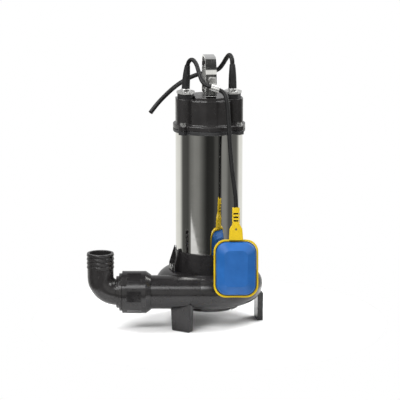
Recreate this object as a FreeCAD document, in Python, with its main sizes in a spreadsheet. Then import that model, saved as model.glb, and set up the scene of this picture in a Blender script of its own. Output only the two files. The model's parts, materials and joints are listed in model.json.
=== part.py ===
import FreeCAD, Part
import Sketcher
import math
import os
import re

# Submersible sump pump: stainless motor tube, black plastic cap, oil chamber and volute,
# side outlet with a hose elbow, float switch on its own cable.
# The pump stands on z = 0. Its motor axis is vertical; the viewer's side is -Y and the outlet goes to -X.

SIZES = {
    # where the motor axis stands, measured from the middle of the whole object's footprint
    "axis_offset_x": 59.4, "axis_offset_y": 19.9, "top_turn": 4.5,
    # stainless motor tube
    "tube_radius": 60, "tube_wall": 1.5, "tube_low": 134, "tube_high": 352,
    # bearing frame and cap joined above the tube
    "flange_radius": 64.5, "flange_low": 348.5, "frame_high": 355, "cap_low": 356, "flange_high": 364,
    "lug_radius": 66.5, "lug_reach": 73, "lug_width": 12.5, "lug_angle": 43, "cap_screw_radius": 3,
    "drum_high": 407, "cap_high": 412.8, "tower_high": 408.5, "tower_offset": 41.8, "tower_radius": 18,
    "tower_half": 9, "drum_front": 50, "drum_face": 9, "drum_half": 34, "drum_corner": 41, "drum_step": 5,
    "drum_side_step": 7, "cap_wall": 4,
    # handle strap, bolted through two feet
    "strap_width": 19, "strap_thick": 3, "handle_half": 45.5, "handle_high": 483.5, "handle_curve": 27,
    "foot_inner": 22, "foot_screw": 32,
    # cable glands
    "gland_seal_high": 417, "plate_high": 420.5, "collar_high": 424.5, "collar_radius": 8.2,
    "plate_half_wide": 16, "plate_half_long": 25, "gland_screw_offset": 18,
    "boot_length": 44, "boot_radius": 7.3, "boot_tip_radius": 5.2,
    "float_cable_radius": 3.75, "power_cable_radius": 4,
    # clamp that holds the float cable to the handle
    "clamp_x": 10.4, "clamp_y": -54.6, "clamp_z": 431.4, "clamp_tilt": 16.5, "clamp_turn": 3.5,
    "clamp_width": 15, "clamp_radius": 6.6, "clamp_wall": 1.2,
    # shaft, bearings and motor
    "shaft_radius": 7.5, "shaft_low": 38, "shaft_high": 333, "shaft_core_radius": 10,
    "bearing_radius": 17.5, "bearing_width": 11, "bearing_inner": 10.6, "bearing_outer": 14.4,
    "ball_radius": 2.9, "ball_circle": 12.5, "upper_bearing_low": 321, "lower_bearing_low": 137,
    "core_low": 190, "core_high": 280, "stator_bore": 33, "rotor_radius": 32.5, "core_outer": 58.4,
    "winding_reach": 20, "winding_inner": 36, "winding_outer": 54,
    # oil chamber under the motor
    "chamber_low": 88, "seat_low": 95, "chamber_radius": 61.5, "chamber_foot": 62.5, "spigot_radius": 51.7,
    "gasket_high": 96, "volute_screw_circle": 67.6, "fin_reach": 72, "fin_top": 139.5, "fin_knee": 109,
    "fin_thick": 4, "fin_spread": 30, "fin_start": 180,
    # volute casing, its three legs and its outlet pipe
    "volute_radius": 97, "volute_low": 38.5, "volute_high": 98.5, "volute_curve": 29.8, "volute_wall": 5,
    "volute_mouth": 52, "seat_radius": 64, "cover_mouth": 46, "chamber_slope": 16,
    "outlet_y": -66, "outlet_z": 68.5, "pipe_radius": 30, "pipe_bore": 25.5, "pipe_end": 126,
    "leg_outer": 96.5, "leg_thick": 10, "leg_top_half": 21, "leg_foot_half": 18.5, "leg_high": 52,
    "leg_front": -121.5, "leg_right": 8, "leg_back": 125,
    # suction cover, cutter ring, impeller
    "cover_low": 28.5, "cover_radius": 57, "cover_screw_circle": 51.5, "cutter_ring_high": 37,
    "cutter_ring_outer": 24, "cutter_ring_bore": 18, "impeller_radius": 50, "impeller_low": 56,
    "impeller_plate": 78, "impeller_high": 83, "hub_radius": 14, "hub_low": 44,
    # coupling and hose elbow, measured along the outlet from the motor axis
    "coupling_start": 103.4, "coupling_knee": 112.3, "coupling_end": 154.2, "coupling_radius": 37.6,
    "coupling_bore": 30.1, "spigot_start": 131, "elbow_spigot": 28, "elbow_collar": 33.5,
    "elbow_collar_end": 159.5, "elbow_step": 28.5, "elbow_start": 164.8, "elbow_bend": 28,
    "elbow_radius": 23.2, "elbow_bore": 19.5, "mouth_height": 140, "barb_radius": 24.5, "barb_pitch": 7.4,
    # float switch, hung from a point just below its clamp and leaning outwards
    "hang_x": 32.7, "hang_y": -66, "hang_z": 393, "hang_lean": 10,
    "float_x": 14, "float_high": -224, "float_low": -325, "float_half": 39, "float_corner": 21,
    "float_rim": 3, "float_wall": 2.5, "float_depth": 20, "float_bevel": 13, "neck_high": -168,
    "neck_low": -197, "neck_half": 6.4, "neck_foot_half": 12.5, "neck_pin": 1.7, "float_groove": 1.4,
    "switch_low": -276, "ball_size": 7.5, "ball_rest": -303.7, "ball_travel": 18,
    "lever_reach": 9, "lever_turn": 7.2,
}

DOC = FreeCAD.newDocument("sump_pump")
SHEET = DOC.addObject("Spreadsheet::Sheet", "Sizes")
NODES = []


def fill_sheet():
    """Put every driving dimension in its own cell, with its name as the alias."""
    for row, (name, number) in enumerate(SIZES.items(), start=1):
        SHEET.set(f"A{row}", name)
        SHEET.set(f"B{row}", str(number))
        SHEET.setAlias(f"B{row}", name)
    DOC.recompute()


def expression(text):
    """Prefix each alias in an arithmetic text with the sheet's name."""
    return re.sub(r"[a-z_]+", lambda word: f"Sizes.{word[0]}" if word[0] in SIZES else word[0], str(text))


def value(text):
    """The number that an arithmetic text over the aliases stands for."""
    return float(SHEET.evalExpression(expression(text)))


def vector(x, y, z):
    return FreeCAD.Vector(value(x), value(y), value(z))


# ---------------------------------------------------------------- placements of the groups

def pump_place(turn=0):
    """The motor axis, with the group turned about it."""
    return FreeCAD.Placement(vector("axis_offset_x", "axis_offset_y", 0),
                             FreeCAD.Rotation(FreeCAD.Vector(0, 0, 1), value(turn)))


def outlet_place():
    """Local z runs out along the outlet pipe and local x points up."""
    outlet = FreeCAD.Placement(vector(0, "outlet_y", "outlet_z"),
                               FreeCAD.Rotation(FreeCAD.Vector(0, 1, 0), -90))
    return pump_place() * outlet


def float_place():
    """Local origin is the float's hinge point; local -z runs down the leaning cable."""
    hang = FreeCAD.Placement(vector("hang_x", "hang_y", "hang_z"),
                             FreeCAD.Rotation(FreeCAD.Vector(1, 0, 0), -value("hang_lean")))
    return pump_place() * hang


def lever_place():
    """Local origin is the switch lever's pivot, with the lever lying as the resting ball leaves it."""
    pivot = vector("float_x - lever_reach", 0, "switch_low - 1.5")
    turn = FreeCAD.Rotation(FreeCAD.Vector(0, 1, 0), value("lever_turn"))
    return float_place() * FreeCAD.Placement(pivot, turn)


def clamp_place():
    """Local x runs along the cable through the clamp."""
    spot = vector("clamp_x", "clamp_y", "clamp_z")
    turn = FreeCAD.Rotation(-value("clamp_turn"), value("clamp_tilt"), 0)
    return pump_place() * FreeCAD.Placement(spot, turn)


def keep(node, place):
    """Register a finished sub-part at its place in the pump."""
    node.Placement = place
    NODES.append(node)
    return node


# ---------------------------------------------------------------- PartDesign helpers

def new_body(label):
    body = DOC.addObject("PartDesign::Body", label)
    body.Label = label
    return body


def new_sketch(body, role, shift=(0, 0, 0), turn_axis=(0, 0, 1), turn=0):
    """A sketch on one of the body's origin planes, shifted and turned within it."""
    sketch = body.newObject("Sketcher::SketchObject", "outline")
    plane = next(item for item in body.Origin.OriginFeatures if item.Role == role)
    sketch.AttachmentSupport = [(plane, "")]
    sketch.MapMode = "FlatFace"
    rotation = FreeCAD.Rotation(FreeCAD.Vector(*turn_axis), value(turn))
    sketch.AttachmentOffset = FreeCAD.Placement(vector(*shift), rotation)
    for letter, text in zip("xyz", shift):
        sketch.setExpression(f"AttachmentOffset.Base.{letter}", expression(text))
    return sketch


def add_outline(sketch, points):
    """A closed outline of straight sides, each corner driven by two expressions."""
    corners = [vector(x, y, 0) for x, y in points]
    first = sketch.GeometryCount
    sides = list(zip(corners, corners[1:] + corners[:1]))
    sketch.addGeometry([Part.LineSegment(start, end) for start, end in sides], False)
    count = len(points)
    for index, (x, y) in enumerate(points):
        line = first + index
        sketch.addConstraint(Sketcher.Constraint("Coincident", line, 2, first + (index + 1) % count, 1))
        for kind, text, number in (("DistanceX", x, corners[index].x), ("DistanceY", y, corners[index].y)):
            place = sketch.addConstraint(Sketcher.Constraint(kind, -1, 1, line, 1, number))
            sketch.setExpression(f"Constraints[{place}]", expression(text))


def add_circle(sketch, radius, centre=(0, 0)):
    """A circle with its radius and its centre driven by expressions."""
    middle = vector(centre[0], centre[1], 0)
    circle = sketch.addGeometry(Part.Circle(middle, FreeCAD.Vector(0, 0, 1), value(radius)), False)
    size = sketch.addConstraint(Sketcher.Constraint("Radius", circle, value(radius)))
    sketch.setExpression(f"Constraints[{size}]", expression(radius))
    for kind, text, number in (("DistanceX", centre[0], middle.x), ("DistanceY", centre[1], middle.y)):
        place = sketch.addConstraint(Sketcher.Constraint(kind, -1, 1, circle, 3, number))
        sketch.setExpression(f"Constraints[{place}]", expression(text))


def extrude(body, sketch, length, kind="Pad", symmetric=False, reversed_way=False):
    """Pad or pocket a sketch. A pocket has to take material away."""
    before = body.Shape.Volume if body.Shape and not body.Shape.isNull() else 0
    feature = body.newObject(f"PartDesign::{kind}", kind)
    feature.Profile = sketch
    feature.SideType = "Symmetric" if symmetric else "One side"
    feature.Reversed = reversed_way
    feature.setExpression("Length", expression(length))
    DOC.recompute()
    if kind == "Pocket" and body.Shape.Volume > before - 0.1:
        raise RuntimeError(f"{body.Label}: {feature.Label} takes nothing away")
    return feature


def block(body, points, low, high, turn=0):
    """A straight-sided prism standing from low to high."""
    sketch = new_sketch(body, "XY_Plane", (0, 0, low), turn=turn)
    add_outline(sketch, points)
    return extrude(body, sketch, f"{high} - ({low})")


def drum(body, radius, low, high, centre=(0, 0)):
    """A round prism standing from low to high."""
    sketch = new_sketch(body, "XY_Plane", (0, 0, low))
    add_circle(sketch, radius, centre)
    return extrude(body, sketch, f"{high} - ({low})")


def hollow(body, points, low, high):
    """A straight-sided hollow cut down from high to low."""
    sketch = new_sketch(body, "XY_Plane", (0, 0, high))
    add_outline(sketch, points)
    return extrude(body, sketch, f"{high} - ({low})", "Pocket")


def hole(body, radius, low, high, centre=(0, 0)):
    """A round hole cut down from high to low."""
    sketch = new_sketch(body, "XY_Plane", (0, 0, high))
    add_circle(sketch, radius, centre)
    return extrude(body, sketch, f"{high} - ({low})", "Pocket")


def revolve(body, points, kind="Revolution"):
    """Turn an outline of (radius, height) points about the body's z axis."""
    sketch = new_sketch(body, "XZ_Plane")
    add_outline(sketch, points)
    feature = body.newObject(f"PartDesign::{kind}", kind)
    feature.Profile = sketch
    feature.ReferenceAxis = (sketch, ["V_Axis"])
    feature.Angle = 360
    DOC.recompute()
    return feature


def radial_plate(body, points, angle, thickness):
    """A flat plate standing on edge, with its (radius, height) outline at one angle round the axis."""
    sketch = new_sketch(body, "XZ_Plane", turn_axis=(0, 1, 0), turn=angle)
    add_outline(sketch, points)
    return extrude(body, sketch, thickness, symmetric=True)


def tangent_plate(body, points, angle, inner, thickness):
    """A flat plate facing outwards at one angle, from the inner radius out by its thickness."""
    shift = (f"{inner} * sin({angle})", 0, f"{inner} * cos({angle})")
    sketch = new_sketch(body, "YZ_Plane", shift, turn_axis=(0, 1, 0), turn=angle)
    add_outline(sketch, points)
    return extrude(body, sketch, thickness)


def round_edges(body, radius, wanted, kind="Fillet"):
    """Fillet or chamfer the edges of the body's tip that the test picks."""
    tip = body.Tip
    names = [f"Edge{index}" for index, edge in enumerate(tip.Shape.Edges, start=1) if wanted(edge)]
    feature = body.newObject(f"PartDesign::{kind}", kind)
    feature.Base = (tip, names)
    feature.setExpression("Radius" if kind == "Fillet" else "Size", expression(radius))
    DOC.recompute()
    return feature


def is_upright(edge):
    """A straight edge that runs along z."""
    return edge.Curve.TypeId == "Part::GeomLine" and abs(edge.tangentAt(edge.FirstParameter).z) > 0.999


def is_ring(edge, radius, height):
    """A circular edge about the z axis at one radius and height."""
    if edge.Curve.TypeId != "Part::GeomCircle":
        return False
    centre = edge.Curve.Center
    same_size = abs(edge.Curve.Radius - value(radius)) < 0.01
    return same_size and abs(centre.z - value(height)) < 0.01 and math.hypot(centre.x, centre.y) < 0.01


def ring(inner, outer, low, high):
    """Outline of a plain ring's section."""
    return [(inner, low), (outer, low), (outer, high), (inner, high)]


def turned(label, points, place):
    """A sub-part that is one outline turned about its axis."""
    body = new_body(label)
    revolve(body, points)
    return keep(body, place)


# ---------------------------------------------------------------- Part helpers

def primitive(kind, base=(0, 0, 0), axis=(0, 0, 1), rotation=None, **sizes):
    """A Part primitive with its sizes and position bound to the sheet."""
    solid = DOC.addObject(f"Part::{kind}", kind.lower())
    for name, text in sizes.items():
        solid.setExpression(name, expression(text))
    if rotation is None:
        rotation = FreeCAD.Rotation(FreeCAD.Vector(0, 0, 1), FreeCAD.Vector(*axis))
    solid.Placement = FreeCAD.Placement(vector(*base), rotation)
    for letter, text in zip("xyz", base):
        solid.setExpression(f"Placement.Base.{letter}", expression(text))
    return solid


def cylinder(radius, height, base=(0, 0, 0), axis=(0, 0, 1)):
    return primitive("Cylinder", base, axis, Radius=radius, Height=height)


def fused(label, solids):
    fuse = DOC.addObject("Part::MultiFuse", label)
    fuse.Label = label
    fuse.Shapes = solids
    return fuse


def cut(label, base, tool):
    result = DOC.addObject("Part::Cut", label)
    result.Label = label
    result.Base = base
    result.Tool = tool
    return result


def group(label, solids):
    """Identical pieces that share one node as separate solids."""
    compound = DOC.addObject("Part::Compound", label)
    compound.Label = label
    compound.Links = solids
    return compound


def shaped(label, shape, place):
    """A sub-part whose shape comes from Part's own functions."""
    node = DOC.addObject("Part::Feature", label)
    node.Label = label
    node.Shape = shape
    return keep(node, place)


def tangent_path(points, radii=None):
    """Straight runs joined by tangent arcs. Without radii, each arc is as large as its runs allow."""
    points = [FreeCAD.Vector(*point) for point in points]
    edges = []
    start = points[0]
    used = []
    for index in range(1, len(points) - 1):
        corner = points[index]
        back = points[index - 1] - corner
        ahead = points[index + 1] - corner
        turn = math.pi - back.getAngle(ahead)
        shorter = min(back.Length, ahead.Length)
        radius = radii[index - 1] if radii else 0.45 * shorter / math.tan(turn / 2)
        reach = radius * math.tan(turn / 2)
        back.normalize()
        ahead.normalize()
        first = corner + back * reach
        last = corner + ahead * reach
        middle = back + ahead
        middle.normalize()
        through = corner + middle * (radius / math.cos(turn / 2) - radius)
        if (first - start).Length > 1e-6:
            edges.append(Part.LineSegment(start, first).toShape())
        edges.append(Part.Arc(first, through, last).toShape())
        used.append(round(radius, 1))
        start = last
    edges.append(Part.LineSegment(start, points[-1]).toShape())
    return Part.Wire(edges), used


def cord_tube(label, points, radius, place):
    """A cable's plain tube, with its volume checked against section times length."""
    path, radii = tangent_path(points)
    direction = FreeCAD.Vector(*points[1]) - FreeCAD.Vector(*points[0])
    section = Part.Wire(Part.Circle(FreeCAD.Vector(*points[0]), direction, value(radius)).toShape())
    tube = path.makePipeShell([section], True, False)
    expected = math.pi * value(radius) ** 2 * path.Length
    print(f"{label}: length {path.Length:.1f}, radii {radii}, volume ratio {tube.Volume / expected:.4f}")
    return shaped(label, tube, place)


def screw(radius, low, seat, head_radius, head_high, base):
    """A round-headed screw standing on its axis at base: shank, then head above the seat."""
    shank = cylinder(radius, f"{seat} - ({low})", (base[0], base[1], low))
    head = cylinder(head_radius, f"{head_high} - ({seat})", (base[0], base[1], seat))
    return fused("screw", [shank, head])


# ---------------------------------------------------------------- top of the pump

def lug_turns():
    """The four lugs stand at the same angle either side of the front and of the back."""
    angle = value("lug_angle")
    return [angle, 180 - angle, 180 + angle, 360 - angle]


def add_lugs(body, low, high):
    outline = [("flange_radius - 8", "-lug_width / 2"), ("lug_reach", "-lug_width / 2"),
               ("lug_reach", "lug_width / 2"), ("flange_radius - 8", "lug_width / 2")]
    for turn in lug_turns():
        block(body, outline, low, high, turn=turn)


def lug_centre(turn):
    return (f"lug_radius * cos({turn})", f"lug_radius * sin({turn})")


def drum_outline(inset, half_inset=0):
    """Plan of the cap's middle: a front and a back of three faces each, drawn in by the inset."""
    half = f"drum_half - {half_inset}"
    face = f"drum_face - {inset} * 0.2"
    front = f"drum_front - {inset}"
    corner = f"drum_corner - {inset}"
    quarter = [(half, corner), (face, front), (f"-({face})", front), (f"-({half})", corner)]
    return quarter + [(x, f"-({y})") for x, y in reversed(quarter)]


def make_top_cap():
    body = new_body("top_cap")
    drum(body, "flange_radius", "cap_low", "flange_high")
    add_lugs(body, "cap_low", "flange_high")
    round_edges(body, 1.5, lambda edge: is_upright(edge))
    block(body, drum_outline(0), "flange_high", "drum_high")
    block(body, drum_outline("drum_step", "drum_side_step"), "drum_high", "cap_high")
    for side in ("", "-"):
        edge = f"{side}tower_offset"
        for end in ("tower_half", "-tower_half"):
            drum(body, "tower_radius", "flange_high", "tower_high", (edge, end))
        outline = [(f"{edge} - tower_radius", "-tower_half"), (f"{edge} + tower_radius", "-tower_half"),
                   (f"{edge} + tower_radius", "tower_half"), (f"{edge} - tower_radius", "tower_half")]
        block(body, outline, "flange_high", "tower_high")
    hollow(body, drum_outline("cap_wall", "cap_wall"), "cap_low", "drum_high - cap_wall")
    hole(body, "tube_radius - 8", "cap_low", "cap_low + 5")
    for side in ("", "-"):
        edge = f"{side}tower_offset"
        hole(body, "6.5", "cap_low", "tower_high", (edge, 0))
        for end in ("gland_screw_offset", "-gland_screw_offset"):
            hole(body, "2.6", "tower_high - 18", "tower_high", (edge, end))
    for turn in lug_turns():
        hole(body, "cap_screw_radius + 0.1", "cap_low", "flange_high", lug_centre(turn))
    for end in ("foot_screw", "-foot_screw"):
        hole(body, "2.6", "cap_high - 9", "cap_high", (0, end))
    round_edges(body, 1.2, lambda edge: is_ring(edge, "flange_radius", "flange_high"))
    keep(body, pump_place("top_turn"))


def make_upper_frame():
    """Casting that carries the upper bearing, closes the tube and takes the cap's screws."""
    body = new_body("upper_bearing_frame")
    low = "upper_bearing_low"
    high = "upper_bearing_low + bearing_width"
    revolve(body, [("bearing_inner", f"{high} + 3"), ("bearing_inner", high), ("bearing_radius", high),
                   ("bearing_radius", f"{low} - 1"), ("bearing_radius + 4.5", f"{low} - 1"),
                   ("bearing_radius + 4.5", f"{high} - 1"), ("50", "flange_low - 3.5"),
                   ("tube_radius - tube_wall - 0.1", "flange_low - 3.5"),
                   ("tube_radius - tube_wall - 0.1", "tube_high"), ("tube_radius + 0.1", "tube_high"),
                   ("tube_radius + 0.1", "flange_low"), ("flange_radius", "flange_low"),
                   ("flange_radius", "frame_high"), ("52", "frame_high"), ("52", "tube_high - 2"),
                   ("bearing_radius + 2.5", f"{high} + 3")])
    outline = [("tube_radius + 1.5", "-lug_width / 2"), ("lug_reach", "-lug_width / 2"),
               ("lug_reach", "lug_width / 2"), ("tube_radius + 1.5", "lug_width / 2")]
    for turn in lug_turns():
        block(body, outline, "flange_low", "frame_high", turn=turn)
    for turn in lug_turns():
        hole(body, "cap_screw_radius + 0.1", "flange_low", "frame_high", lug_centre(turn))
    hole(body, "6", "flange_low - 20", "frame_high", (38, 0))
    round_edges(body, 2.5, lambda edge: is_ring(edge, "flange_radius", "flange_low"))
    keep(body, pump_place("top_turn"))


def make_cap_fixings():
    outer = "lug_radius - cap_screw_radius - 0.3"
    turned("cap_gasket", ring("53", outer, "frame_high", "cap_low"), pump_place("top_turn"))
    screws = []
    for turn in lug_turns():
        solid = screw("cap_screw_radius", "flange_low + 1", "flange_high", "5", "flange_high + 6",
                      lug_centre(turn))
        socket = primitive("Prism", lug_centre(turn) + ("flange_high + 3",), Polygon="6",
                           Circumradius="2.9", Height="4")
        screws.append(cut("socket_screw", solid, socket))
    keep(group("cap_screws", screws), pump_place("top_turn"))


def make_handle():
    """A flat strap bent to an arch, with two feet turned in on the cap."""
    low = value("cap_high + strap_thick / 2")
    half = value("handle_half - strap_thick / 2")
    high = value("handle_high - strap_thick / 2")
    inner = value("foot_inner")
    shoulder = value("handle_curve")
    foot = 5
    points = [(0, -inner, low), (0, -half, low), (0, -half, high), (0, half, high), (0, half, low),
              (0, inner, low)]
    path, _ = tangent_path(points, [foot, shoulder, shoulder, foot])
    wide = value("strap_width / 2")
    thick = value("strap_thick / 2")
    corners = [FreeCAD.Vector(x, -inner, low + z)
               for x, z in ((-wide, -thick), (wide, -thick), (wide, thick), (-wide, thick))]
    section = Part.makePolygon(corners + corners[:1])
    strap = path.makePipeShell([section], True, False)
    for end in (-1, 1):
        drilling = Part.makeCylinder(3.1, 20, FreeCAD.Vector(0, end * value("foot_screw"), low - 10))
        strap = strap.cut(drilling)
    tab_hole = Part.makeCylinder(2.1, 10, FreeCAD.Vector(0, -half - 5, value("clamp_z + 13")),
                                 FreeCAD.Vector(0, 1, 0))
    shaped("handle_strap", strap.cut(tab_hole), pump_place("top_turn"))
    screws = [screw("2.5", "cap_high - 8", "cap_high + strap_thick", "5", "cap_high + strap_thick + 4",
                    (0, end)) for end in ("foot_screw", "-foot_screw")]
    keep(group("handle_screws", screws), pump_place("top_turn"))


def plate_outline(inset):
    """Plan of a gland plate: a lozenge with cut-off tips, longer from front to back."""
    wide = f"plate_half_wide - {inset}"
    long = f"plate_half_long - {inset}"
    quarter = [(wide, 5), ("7", long), ("-7", long), (f"-({wide})", 5)]
    return quarter + [(x, f"-({y})") for x, y in reversed(quarter)]


def gland_place(side):
    offset = FreeCAD.Placement(vector(f"{side}tower_offset", 0, 0), FreeCAD.Rotation())
    return pump_place("top_turn") * offset


def make_gland(name, side, cable_radius):
    """Rubber seal block, steel plate with its collar, and the two screws that press them down."""
    seal = new_body(f"{name}_gland_seal")
    block(seal, plate_outline("1.5"), "tower_high", "gland_seal_high")
    hole(seal, cable_radius, "tower_high", "gland_seal_high")
    for end in ("gland_screw_offset", "-gland_screw_offset"):
        hole(seal, "2.6", "tower_high", "gland_seal_high", (0, end))
    round_edges(seal, 3, is_upright)
    keep(seal, gland_place(side))
    plate = new_body(f"{name}_gland_plate")
    block(plate, plate_outline("0"), "gland_seal_high", "plate_high")
    round_edges(plate, 4, is_upright)
    drum(plate, "collar_radius", "plate_high", "collar_high")
    hole(plate, f"{cable_radius} + 0.1", "gland_seal_high", "collar_high")
    for end in ("gland_screw_offset", "-gland_screw_offset"):
        hole(plate, "2.6", "gland_seal_high", "plate_high", (0, end))
    round_edges(plate, 0.8, lambda edge: is_ring(edge, "collar_radius", "collar_high"))
    keep(plate, gland_place(side))


def make_gland_screws():
    screws = []
    for side in ("", "-"):
        for end in ("gland_screw_offset", "-gland_screw_offset"):
            screws.append(screw("2.5", "tower_high - 14", "plate_high", "4.5", "plate_high + 3.6",
                                (f"{side}tower_offset", end)))
    keep(group("gland_screws", screws), pump_place("top_turn"))


# ---------------------------------------------------------------- cables

# Each route runs from its gland. The first run stands in the strain relief.
POWER_ROUTE = [(41.7, 3.3, 424.5), (41.6, 3.4, 446), (41.4, 3.8, 465), (40.8, 4.8, 478),
               (36.4, 14, 484.2), (31.2, 23.4, 477), (24.5, 33.5, 463.5), (16.5, 43.5, 452.5),
               (-1, 60, 446.5), (-18, 63, 443), (-35, 55, 437.5), (-51, 41, 430), (-65, 29, 421),
               (-79, 18.5, 409), (-93, 10, 395.5), (-104.8, 3.6, 380.3)]
FLOAT_ROUTE = [(-41.7, -3.3, 424.5), (-40.6, -4, 446), (-38, -6, 472), (-30.5, -12.6, 479),
               (-22.9, -19.1, 472), (-18.3, -31, 457), (-12.4, -47.4, 441.5)]


def clamp_point(along):
    """A point of the cable inside its clamp, in the pump's own frame."""
    spot = clamp_place().multVec(FreeCAD.Vector(along, 0, 0))
    return spot - vector("axis_offset_x", "axis_offset_y", 0)


def hang_point(x, z):
    """A point on the hanging cable's plane, given from the hinge point."""
    spot = float_place().multVec(FreeCAD.Vector(x, 0, z))
    return spot - vector("axis_offset_x", "axis_offset_y", 0)


def make_boot(name, side, route, cable_radius):
    """Tapered strain relief standing on its gland's collar along the cable's first runs."""
    start = FreeCAD.Vector(*route[0])
    axis = FreeCAD.Vector(*route[2]) - start
    axis.normalize()
    shell = Part.makeCone(value("boot_radius"), value("boot_tip_radius"), value("boot_length"), start, axis)
    foot = Part.makeCylinder(value("collar_radius") + 5, 10, start - FreeCAD.Vector(0, 0, 10))
    path, _ = tangent_path(route[:4])
    section = Part.Wire(Part.Circle(start, FreeCAD.Vector(*route[1]) - start,
                                    value(cable_radius)).toShape())
    lead = path.makePipeShell([section], True, False)
    shaped(f"{name}_cable_boot", shell.cut(foot).cut(lead), pump_place())


def make_cables():
    cord_tube("power_cable", POWER_ROUTE, "power_cable_radius", pump_place())
    clamped = [tuple(clamp_point(along)) for along in (-13.6, 13.6)]
    leaving = [(29.5, -60.5, 418.5), tuple(hang_point(-2.6, 18)), tuple(hang_point(-0.4, 6.8))]
    cord_tube("float_cable_upper", FLOAT_ROUTE + clamped + leaving, "float_cable_radius", pump_place())
    hanging = [(0, 0, 0), (1.8, 0, -28), (3.2, 0, -60), (6.2, 0, -94), (10.2, 0, -126), (13.2, 0, -147),
               (14, 0, -164), (14.06, 0, -181), (14, 0, -198)]
    cord_tube("float_cable_lower", hanging, "float_cable_radius", float_place())


def make_clamp():
    """Steel band round the float cable, with a tab screwed to the front of the handle."""
    wide = value("clamp_width")
    outer = value("clamp_radius")
    along = FreeCAD.Vector(1, 0, 0)
    start = FreeCAD.Vector(-wide / 2, 0, 0)
    band = Part.makeCylinder(outer, wide, start, along)
    lining = Part.makeCylinder(outer - value("clamp_wall"), wide, start, along)
    cable = Part.makeCylinder(value("float_cable_radius"), wide, start, along)
    shaped("clamp_lining", lining.cut(cable), clamp_place())
    # the tab is worked out in the handle's own turned frame, where the strap's face is square
    handle = pump_place("top_turn")
    front = value("handle_half")
    thick = value("clamp_wall") + 0.6
    foot = value("clamp_z")
    tab = Part.makeBox(12, thick, 17, FreeCAD.Vector(-4, -front - thick, foot + 2))
    web = Part.makeBox(4.5, 6, thick, FreeCAD.Vector(3.5, -front - 6, foot + 2))
    drilling = Part.makeCylinder(2.1, 9, FreeCAD.Vector(0, -front - 6, foot + 13), FreeCAD.Vector(0, 1, 0))
    tab = tab.fuse(web).cut(drilling)
    tab.Placement = clamp_place().inverse() * handle
    band = band.fuse(tab).cut(lining)
    shaped("cable_clamp", band.removeSplitter(), clamp_place())
    shank = Part.makeCylinder(2, 8, FreeCAD.Vector(0, -front - thick, foot + 13), FreeCAD.Vector(0, 1, 0))
    head = Part.makeCylinder(5, 3, FreeCAD.Vector(0, -front - thick - 3, foot + 13),
                             FreeCAD.Vector(0, 1, 0))
    nut = Part.makeCylinder(4, 3, FreeCAD.Vector(0, 3 - front, foot + 13), FreeCAD.Vector(0, 1, 0))
    shaped("clamp_screw", shank.fuse([head, nut]).removeSplitter(), handle)


# ---------------------------------------------------------------- motor and shaft

def make_motor():
    tube = ring("tube_radius - tube_wall", "tube_radius", "tube_low", "tube_high")
    turned("motor_tube", tube, pump_place())
    stator = new_body("stator_core")
    drum(stator, "core_outer", "core_low", "core_high")
    hole(stator, "stator_bore", "core_low", "core_high")
    keep(stator, pump_place())
    upper = ring("winding_inner", "winding_outer", "core_high", "core_high + winding_reach")
    lower = ring("winding_inner", "winding_outer", "core_low - winding_reach", "core_low")
    for name, outline in (("winding_upper", upper), ("winding_lower", lower)):
        body = new_body(name)
        revolve(body, outline)
        round_edges(body, 5, lambda edge: edge.Curve.TypeId == "Part::GeomCircle")
        keep(body, pump_place())
    capacitor = cylinder("15", "56", (-6, "-28", "cap_low + 28"), axis=(0, 1, 0))
    keep(group("capacitor", [capacitor]), pump_place("top_turn"))
    terminals = primitive("Box", (14, -20, "cap_low + 14"), Length="10", Width="40", Height="20")
    keep(group("terminal_block", [terminals]), pump_place("top_turn"))


def make_bearing(name, low):
    """Ball bearing: outer ring in the frame, inner ring on the shaft, a groove in each for the balls."""
    middle = value(f"{low} + bearing_width / 2")
    groove = Part.makeTorus(value("ball_circle"), value("ball_radius + 0.05"), FreeCAD.Vector(0, 0, middle))
    for part, inner, outer in (("outer", "bearing_outer", "bearing_radius"),
                               ("inner", "shaft_radius", "bearing_inner")):
        width = value("bearing_width")
        base = FreeCAD.Vector(0, 0, value(low))
        race = Part.makeCylinder(value(outer), width, base)
        race = race.cut(Part.makeCylinder(value(inner), width, base))
        shaped(f"{name}_bearing_{part}", race.cut(groove), pump_place())


def make_bearings():
    make_bearing("upper", "upper_bearing_low")
    make_bearing("lower", "lower_bearing_low")
    balls = []
    for low in ("upper_bearing_low", "lower_bearing_low"):
        height = value(f"{low} + bearing_width / 2")
        for index in range(8):
            angle = index * math.pi / 4
            reach = value("ball_circle")
            spot = FreeCAD.Vector(reach * math.cos(angle), reach * math.sin(angle), height)
            balls.append(Part.makeSphere(value("ball_radius"), spot))
    shaped("bearing_balls", Part.makeCompound(balls), pump_place())


def make_rotor():
    turned("motor_shaft",
           [("3.5", "shaft_low"), ("shaft_radius", "shaft_low"),
            ("shaft_radius", "lower_bearing_low + bearing_width"),
            ("shaft_core_radius", "lower_bearing_low + bearing_width"),
            ("shaft_core_radius", "upper_bearing_low"), ("shaft_radius", "upper_bearing_low"),
            ("shaft_radius", "shaft_high"), (0, "shaft_high"), (0, "shaft_low + 14"),
            ("3.5", "shaft_low + 14")], pump_place())
    turned("rotor_core",
           [("shaft_core_radius", "core_low"), ("18", "core_low"), ("18", "core_low - 8"),
            ("rotor_radius - 2", "core_low - 8"), ("rotor_radius - 2", "core_low"),
            ("rotor_radius", "core_low"), ("rotor_radius", "core_high"),
            ("rotor_radius - 2", "core_high"), ("rotor_radius - 2", "core_high + 8"),
            ("18", "core_high + 8"), ("18", "core_high"), ("shaft_core_radius", "core_high")],
           pump_place())


# ---------------------------------------------------------------- oil chamber and seals

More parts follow.
